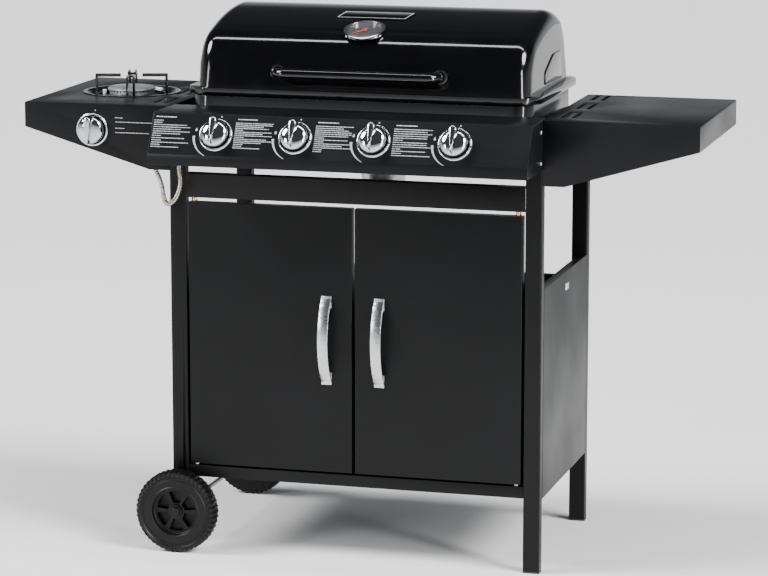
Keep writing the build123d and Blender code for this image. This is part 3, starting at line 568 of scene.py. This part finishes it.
# Side badge: a small blank plate of silver-coloured steel, glued to the right side panel.
# Its upper edge is shifted back, like the badge on the lid.
badge_silver = bright_metal(
    "badge silver", colour=(0.62, 0.63, 0.65), worn=(0.5, 0.5, 0.52), roughness=0.25
)
cart_end = 0.340
side_badge = [(cart_front + depth, height) for depth, height in (
    (0.194, 0.474), (0.216, 0.474), (0.219, 0.486), (0.197, 0.486),
)]
link(
    "side_badge",
    raised_plate("side_badge", side_badge, radius=0.002, face=cart_end, out=1, rise=0.0012),
    badge_silver, "cart",
)

# Firebox: a tub of pressed steel sheet with a folded rim, enamelled inside and out. It is
# fixed in the top of the cart and carries the burners.
keep("firebox", gloss_enamel("firebox enamel", (0.0025, 0.0025, 0.0028), 0.12), edge=0.0010)

# Burners and heat plates: stainless tube and folded stainless sheet, browned by the flame.
# The burners reach through the firebox's front to the valves, and the plates lie above them.
burner_steel = bright_metal(
    "burner steel", colour=(0.50, 0.47, 0.43), worn=(0.36, 0.30, 0.25), roughness=0.35
)
for node in ("burners", "heat_plates"):
    keep(node, burner_steel, edge=0.0004)

# Cooking grates: two iron castings in matt porcelain, which lie loose on the firebox's
# ledge and lift out for cleaning.
grate_iron = powder_coat(
    "grate porcelain", colour=(0.016, 0.016, 0.017), chalk=(0.024, 0.023, 0.022), roughness=0.5
)
for node in ("cooking_grate_left", "cooking_grate_right"):
    keep(node, grate_iron, edge=0.0012)

# Control box: steel sheet folded to a sloping panel and closed with an end plate on each
# side, powder coated a very dark grey.
box_coat = powder_coat(
    "control box powder coat", colour=(0.0030, 0.0033, 0.0039), chalk=(0.0042, 0.0045, 0.0052),
    roughness=0.36,
)
keep("control_box", box_coat, edge=0.0012, segments=3)

# Panel print: a grey overlay is glued on the sloping panel. It is printed with an arc, a
# flame and an off dot at each knob, and worn rows of light dashes for the instructions.
overlay = powder_coat(
    "panel overlay", colour=(0.0040, 0.0045, 0.0056), chalk=(0.0054, 0.0059, 0.0072),
    roughness=0.36,
)
panel_rise = 0.069
panel_run = 0.038
panel_slope = math.atan2(panel_rise, panel_run)
up_slope = Vector((0, math.cos(panel_slope), math.sin(panel_slope)))
panel_out = Vector((0, -math.sin(panel_slope), math.cos(panel_slope)))
panel_middle = Vector((0, cart_front - 0.096, 0.7725))
panel_half_wide = 0.3385
panel_half_high = 0.0385
overlay_lift = 0.00015
ink_lift = 0.0003
rng = random.Random(4)
dash_gap = 0.0009
dash_least = 0.002
dash_most = 0.008


def dashes(left, right, height, tall=0.0011):
    """One row of short light bars."""
    row = []
    u = left
    while u < right - dash_least:
        wide = min(rng.uniform(dash_least, dash_most), right - u)
        row.append([(u, height), (u + wide, height), (u + wide, height + tall), (u, height + tall)])
        u += wide + dash_gap
    return row


dot_across = 0.006
dot_up = 0.0345
dot_radius = 0.0013
dot_turns = (0, 1.05, 2.1, 3.14, 4.2, 5.24)
flame_outline = (
    (-0.0375, 0.006), (-0.0352, 0.0065), (-0.0345, 0.0088), (-0.0358, 0.0108),
    (-0.0356, 0.0130), (-0.0378, 0.0105), (-0.0384, 0.0080),
)
arc_steps = 16
arc_start = 184
arc_sweep = 64
arc_outside = 0.0420
arc_inside = 0.0375
arc_taper = 0.0040


def knob_print(x):
    """The off dot, the flame and the tapering arc round one knob."""
    dot = [
        (x + dot_across + dot_radius * math.cos(a), dot_up + dot_radius * math.sin(a))
        for a in dot_turns
    ]
    flame = [(x + u, v) for u, v in flame_outline]
    outer = []
    inner = []
    for k in range(arc_steps + 1):
        a = math.radians(arc_start + arc_sweep * k / arc_steps)
        r = arc_inside + arc_taper * k / arc_steps
        outer.append((x + arc_outside * math.cos(a), arc_outside * math.sin(a)))
        inner.append((x + r * math.cos(a), r * math.sin(a)))
    return [dot, flame, outer + inner[::-1]]


panel_corners = [
    (u * panel_half_wide, v * panel_half_high) for u, v in ((-1, -1), (1, -1), (1, 1), (-1, 1))
]
link(
    "panel_overlay",
    flat_sheet("panel_overlay", [panel_corners], panel_middle, up_slope, panel_out, overlay_lift),
    overlay, "cart",
)
ink = Finish("panel ink", 0.5)
ink.colour(ink.blend(ink.noise(scale=700.0), (0.34, 0.35, 0.36), (0.62, 0.63, 0.64)))
knob_x = (-0.2195, -0.0755, 0.065, 0.209)
printed = []
for x in knob_x:
    printed += knob_print(x)
heading_in = 0.003
heading_wide = 0.040
heading_up = 0.0300
heading_tall = 0.0016
rows_top = 0.0235
rows_foot = -0.026
rows_wide = 0.068
row_shares = (0.25, 0.75, 0.9, 1.0, 1.0)
# left edge of a block of rows, and the pitch of its rows
for left, pitch in ((-0.336, 0.0041), (-0.186, 0.0033), (-0.041, 0.0036), (0.099, 0.0040)):
    printed += dashes(left + heading_in, left + heading_wide, heading_up, heading_tall)
    height = rows_top
    while height > rows_foot:
        printed += dashes(left, left + rows_wide * rng.choice(row_shares), height)
        height -= pitch
link(
    "panel_print",
    flat_sheet("panel_print", printed, panel_middle, up_slope, panel_out, ink_lift),
    ink, "cart",
)

# Shelf print: an off dot and four rows of dashes, printed in the same ink on the front
# apron of the left shelf, beside the side burner's knob.
side_knob = Vector((-0.484, cart_front, 0.760))
side_up = Vector((0, 0, 1))
side_out = Vector((0, -1, 0))
side_rows_left = 0.043
side_rows = knob_print(0.0)[:1]
for right, height in ((0.060, 0.022), (0.112, 0.0145), (0.062, 0.0034), (0.108, -0.0044)):
    side_rows += dashes(side_rows_left, right, height)
link(
    "shelf_print",
    flat_sheet("shelf_print", side_rows, side_knob, side_up, side_out, ink_lift),
    ink, "cart",
)

# Box screws: a pair of zinc plated pan head screws through each end plate of the control
# box, one above the other. Each has a shallow recess for the driver.
screw_zinc = bright_metal(
    "screw zinc", colour=(0.50, 0.50, 0.51), worn=(0.40, 0.40, 0.41), roughness=0.30
)
screw_sides = 20
screw_behind = -0.014
# radius and stand-off from the plate
screw_head = (
    (0.0038, 0.0), (0.0038, 0.0008), (0.0030, 0.0018), (0.0014, 0.0022), (0.0012, 0.0014),
)
for side_name, out in (("left", -1), ("right", 1)):
    for level in (0.787, 0.733):
        rings = []
        for radius, stand in screw_head:
            rings.append([
                (
                    out * (cart_end + stand),
                    cart_front + screw_behind + radius * math.cos(a),
                    level + radius * math.sin(a),
                )
                for a in (2 * math.pi * k / screw_sides for k in range(screw_sides))
            ])
        mesh = skin("box_screw", *cross_sections(rings))
        name = f"box_screw_{side_name}_{round(level * 1000)}"
        link(name, mesh, screw_zinc, "cart")

# Knobs: zinc castings, chromed, with a raised bar to grip. Each is pushed over the flats of
# its valve's brass stem, which stands out through the panel.
# Painted shade: the knobs' chrome is a darker copy of the bezels' chrome. Its lower colour stands
# for the dark surroundings that the knobs reflect.
shaded_knob_chrome = bright_metal(
    "knob chrome darkened for painted shade", colour=(0.56, 0.57, 0.59), worn=(0.50, 0.51, 0.53), roughness=0.040
)
knob_sides = 72
# radius and height above the panel
knob_dome = (
    (0.0238, 0.0050), (0.0245, 0.0056), (0.0245, 0.0110), (0.0242, 0.0128), (0.0232, 0.0148),
    (0.0212, 0.0168), (0.0180, 0.0186), (0.0140, 0.0200), (0.0095, 0.0208), (0.0045, 0.0212),
    (0.0006, 0.0213),
)
# size of the grip bar's outline and height above the panel
grip_heights = (
    (1.0, 0.0080), (0.97, 0.0240), (0.92, 0.0275), (0.82, 0.0298), (0.66, 0.0308), (0.3, 0.0310),
)
grip_top = 0.0190
grip_tip = -0.0235
grip_half = 0.0075
tip_half = 0.0012
grip_round_steps = 16
grip_side_steps = (0.25, 0.5, 0.75, 0.97)


def knob_mesh(name, origin, up, out):
    """A domed disc with a bar across it that narrows to a point at the lower edge."""
    across = Vector((1, 0, 0))
    turns = [2 * math.pi * k / knob_sides for k in range(knob_sides)]
    points, faces = cross_sections([
        [origin + (across * math.cos(a) + up * math.sin(a)) * r + out * h for a in turns]
        for r, h in knob_dome
    ])
    outline = []
    for k in range(grip_round_steps + 1):
        a = math.pi * k / grip_round_steps
        outline.append((grip_half * math.cos(a), grip_top + grip_half * math.sin(a)))
    edge = [
        (grip_half * (1 - t) + tip_half * t, grip_top + (grip_tip - grip_top) * t)
        for t in grip_side_steps
    ]
    outline += [(-u, v) for u, v in edge] + [(0.0, grip_tip)] + edge[::-1]
    bar_points, bar_faces = cross_sections([
        [origin + across * (u * size) + up * (v * (0.5 + size / 2)) + out * h for u, v in outline]
        for size, h in grip_heights
    ])
    shift = len(points)
    points += bar_points
    faces += [tuple(i + shift for i in face) for face in bar_faces]
    mesh = skin(name, points, faces)
    mesh.set_sharp_from_angle(angle=math.radians(50))
    return mesh


knob_places = [(panel_middle + Vector((x, 0, 0)), up_slope, panel_out) for x in knob_x]
knob_places.append((side_knob, side_up, side_out))
for number, (origin, up, out) in enumerate(knob_places, start=1):
    node = f"knob_{number}"
    mesh = knob_mesh("knob", origin, up, out)
    knob = link(f"knob_casting_{number}", mesh, shaded_knob_chrome, node)
    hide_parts(node)
    keep(f"valve_stem_{number}", brass, edge=0.0)

# Side shelves: trays folded from steel sheet, with deep tapering aprons and three pairs of
# slots punched through. They are powder coated, and bolted on at the ends of the grill.
shelf_coat = powder_coat(
    "shelf powder coat", colour=(0.0030, 0.0032, 0.0037), chalk=(0.0042, 0.0044, 0.0050),
    roughness=0.40,
)
for node in ("side_shelf_left", "side_shelf_right"):
    keep(node, shelf_coat, edge=0.0012, segments=3)

# Side burner: an enamelled steel bowl let into the left shelf, with an enamelled pot support
# lying in it, a cast aluminium head and cap, and a glazed igniter beside the head.
bowl_enamel = gloss_enamel("bowl enamel", (0.004, 0.004, 0.0043), 0.16)
keep("side_burner_bowl", bowl_enamel, edge=0.0008)
keep("pot_support", bowl_enamel, edge=0.0009, segments=3)
cast_aluminium = bright_metal(
    "cast aluminium", colour=(0.60, 0.60, 0.61), worn=(0.46, 0.46, 0.47), roughness=0.42,
    scale=500.0,
)
for node in ("side_burner_head", "side_burner_cap"):
    keep(node, cast_aluminium, edge=0.0006)
igniter_glaze = Finish("igniter glaze", 0.25)
igniter_glaze.colour(igniter_glaze.blend(
    igniter_glaze.noise(scale=150.0), (0.82, 0.80, 0.75), (0.74, 0.72, 0.66)
))
keep("side_igniter", igniter_glaze, edge=0.0005)
